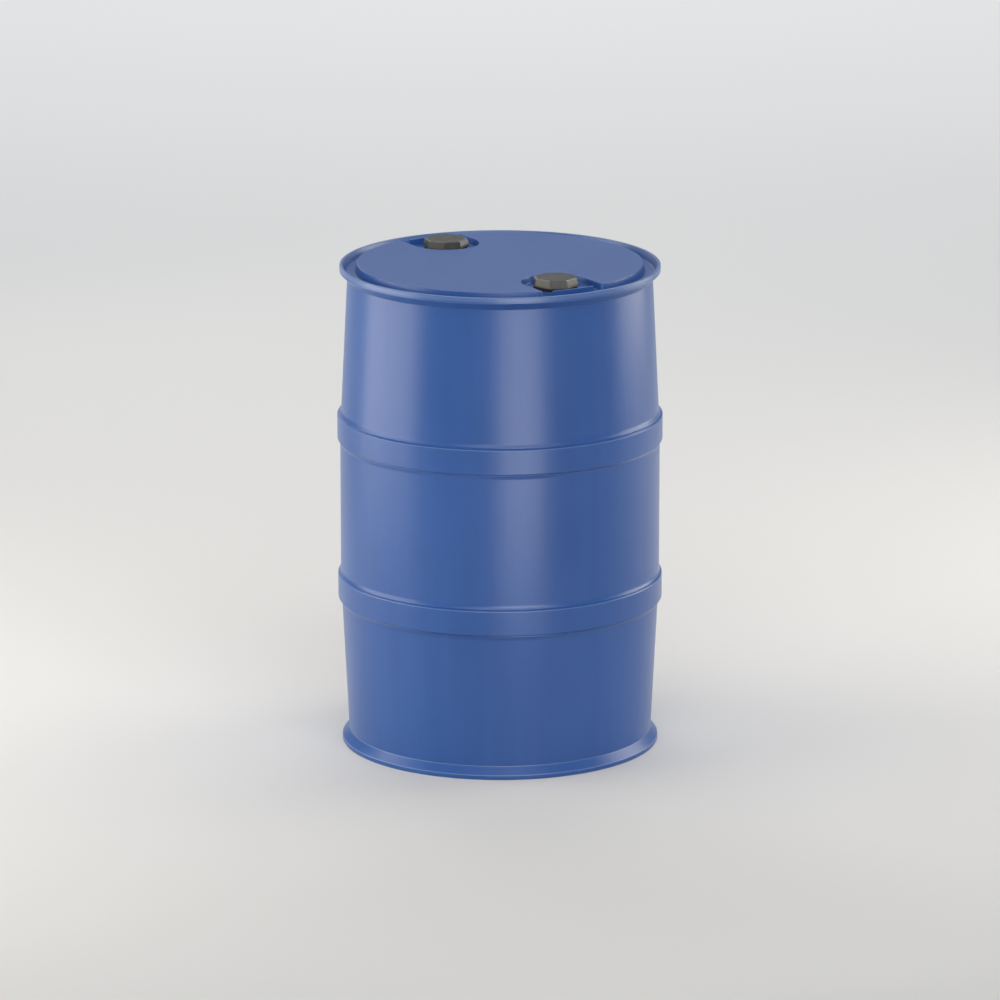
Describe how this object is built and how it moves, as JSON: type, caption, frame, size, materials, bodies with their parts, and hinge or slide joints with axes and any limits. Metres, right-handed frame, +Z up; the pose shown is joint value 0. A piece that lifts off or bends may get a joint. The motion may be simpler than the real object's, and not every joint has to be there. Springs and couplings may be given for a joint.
{
  "type": "closed-head plastic drum",
  "caption": "Closed-head plastic drum with rolling bands, a flared rim and foot, and octagonal screw bungs recessed in a raised head panel.",
  "frame": {"origin": "on the floor under the drum's axis, the centre of the foot ring", "axes": "+Z up along the drum's axis, -Y towards the front, +X to the right as seen from the front"},
  "size_m": [0.59, 0.5898, 0.8975],
  "materials": {
    "drum_plastic": "satin blue moulded high-density polyethylene",
    "bung_plastic": "dark olive-grey moulded plastic",
    "gasket_rubber": "black rubber"
  },
  "bodies": {
    "drum": {"drum_body": "drum_plastic"},
    "front_seal": {"front_gasket": "gasket_rubber"},
    "rear_seal": {"rear_gasket": "gasket_rubber"},
    "front_screw": {"front_bung": "bung_plastic"},
    "rear_screw": {"rear_bung": "bung_plastic"}
  },
  "joints": [
    {"name": "front_bung_rise", "type": "slide", "parent": "drum", "child": "front_seal", "axis": [0, 0, 1], "range_m": [0, 0.0201]},
    {"name": "front_bung_turn", "type": "hinge", "parent": "front_seal", "child": "front_screw", "pos_m": [0.09889, -0.16458, 0.883], "axis": [0, 0, 1], "range_deg": [0, 1440]},
    {"name": "rear_bung_rise", "type": "slide", "parent": "drum", "child": "rear_seal", "axis": [0, 0, 1], "range_m": [0, 0.0201]},
    {"name": "rear_bung_turn", "type": "hinge", "parent": "rear_seal", "child": "rear_screw", "pos_m": [-0.09889, 0.16458, 0.883], "axis": [0, 0, 1], "range_deg": [0, 1440]}
  ],
  "couplings": [
    {"joint": "front_bung_rise", "follows": "front_bung_turn", "m_per_rad": 0.00079577},
    {"joint": "rear_bung_rise", "follows": "rear_bung_turn", "m_per_rad": 0.00079577}
  ]
}
